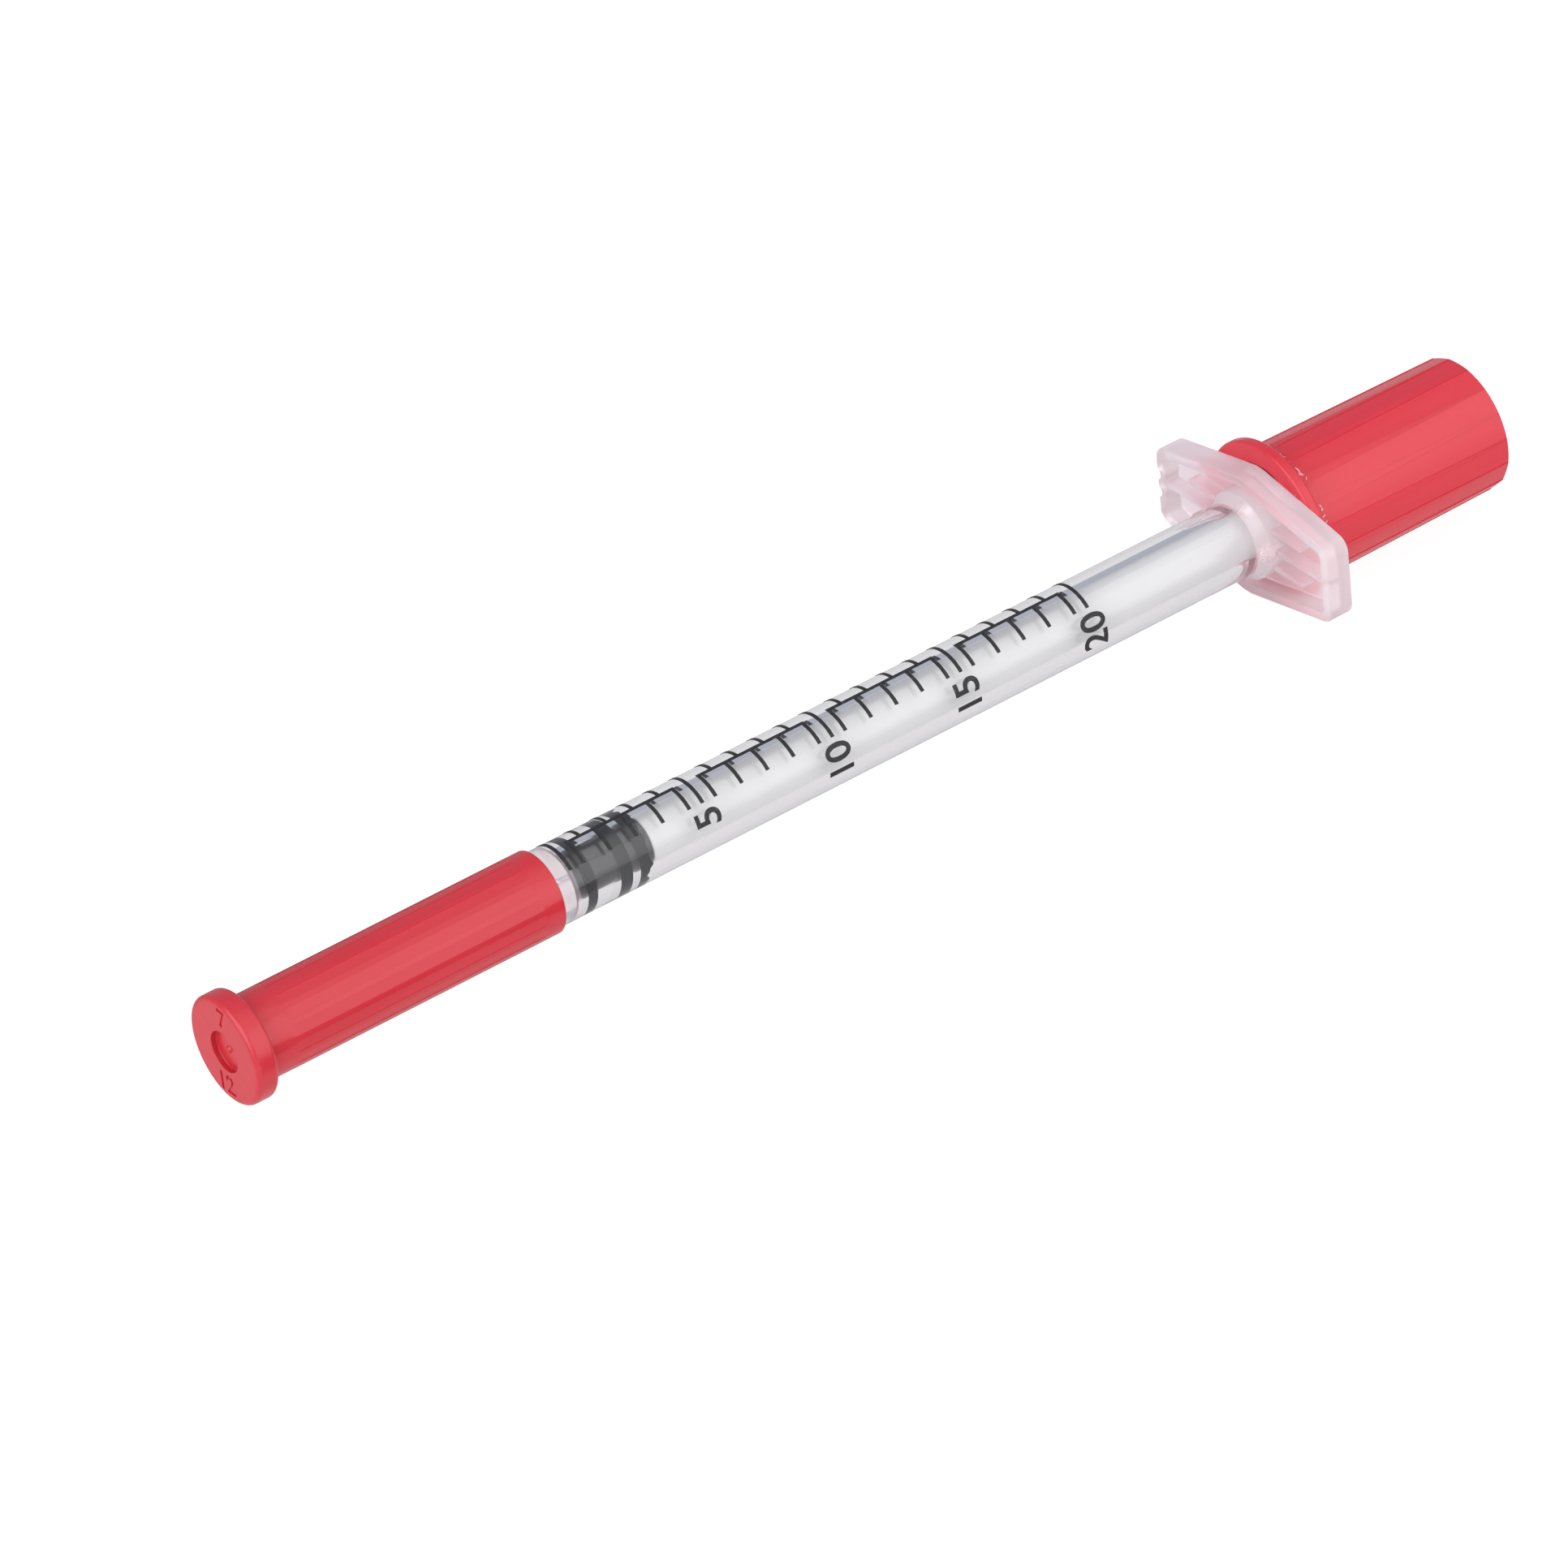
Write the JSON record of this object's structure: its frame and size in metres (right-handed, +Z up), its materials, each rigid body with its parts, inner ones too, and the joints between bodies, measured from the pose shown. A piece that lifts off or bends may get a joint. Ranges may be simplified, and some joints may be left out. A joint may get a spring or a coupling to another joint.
{
  "type": "insulin syringe",
  "caption": "Fixed-needle insulin syringe with a clear printed barrel, finger flange, needle shield and plunger cap.",
  "frame": {"origin": "midway along the syringe, on the surface that it lies on, below its axis", "axes": "+X from the needle towards the plunger cap, Y along the finger flange, +Z up, through the printed scale"},
  "size_m": [0.111, 0.0198, 0.013],
  "materials": {
    "clear_pp": "clear moulded polypropylene, glossy on the tube and frosted on the finger flange",
    "needle_steel": "electropolished stainless steel tube",
    "adhesive": "cured clear epoxy bead",
    "black_ink": "thin screen-printed black ink, slightly uneven at its edges",
    "red_pe": "semi-gloss moulded red polyethylene with fine flow lines",
    "black_rubber": "moulded synthetic rubber, wetted with silicone oil",
    "white_pp": "natural white moulded polypropylene"
  },
  "bodies": {
    "barrel": {"barrel": "clear_pp", "needle": "needle_steel", "needle_adhesive": "adhesive", "scale_print": "black_ink"},
    "needle_shield": {"needle_shield": "red_pe"},
    "stopper": {"stopper": "black_rubber"},
    "plunger": {"plunger_rod": "white_pp"},
    "plunger_cap": {"plunger_cap": "red_pe"}
  },
  "joints": [
    {"name": "shield_pull", "type": "slide", "parent": "barrel", "child": "needle_shield", "axis": [-1, 0, 0], "range_m": [0, 0.025]},
    {"name": "plunger_draw", "type": "slide", "parent": "barrel", "child": "stopper", "axis": [1, 0, 0], "range_m": [0, 0.046]},
    {"name": "rod_turn", "type": "hinge", "parent": "stopper", "child": "plunger", "pos_m": [0, 0, 0.0065], "axis": [1, 0, 0], "continuous": true},
    {"name": "cap_pull", "type": "slide", "parent": "plunger", "child": "plunger_cap", "axis": [1, 0, 0], "range_m": [0, 0.022]}
  ]
}
